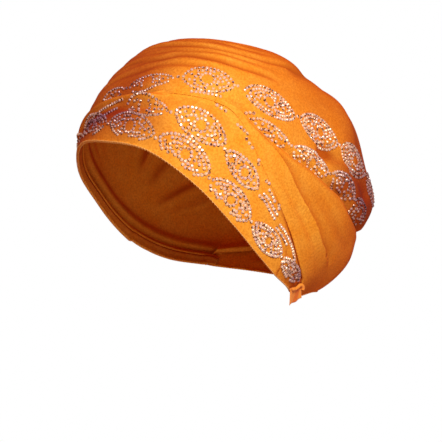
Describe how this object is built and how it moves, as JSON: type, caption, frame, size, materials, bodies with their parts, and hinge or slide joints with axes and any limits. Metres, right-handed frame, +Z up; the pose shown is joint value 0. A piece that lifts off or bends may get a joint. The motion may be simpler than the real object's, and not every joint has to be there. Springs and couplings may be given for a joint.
{
  "type": "pre-tied turban cap with crystal motifs",
  "caption": "Pre-tied head wrap: gathered crown with a low bag, wide forehead band, plain side drape round the nape, satin tie and chains of eye-shaped crystal motifs.",
  "frame": {"origin": "middle of the head opening, between the forehead hem and the nape hem", "axes": "+Z up, the wearer looks along -Y, +X to the wearer's left"},
  "size_m": [0.1715, 0.2083, 0.1926],
  "materials": {
    "jersey": "soft orange stretch jersey with a fine nap",
    "hem": "rolled jersey edge, overlocked in paler thread",
    "satin": "shiny orange satin ribbon",
    "crystal": "clear faceted crystals with a lilac cast"
  },
  "bodies": {
    "root": {"crown": "jersey", "front_band": "jersey", "side_drape": "jersey", "band_hem": "hem", "nape_hem": "hem", "tie_end": "satin", "tie_loop": "satin", "crystals_band_lower": "crystal", "crystals_band_upper": "crystal", "crystals_crown": "crystal"}
  },
  "joints": []
}
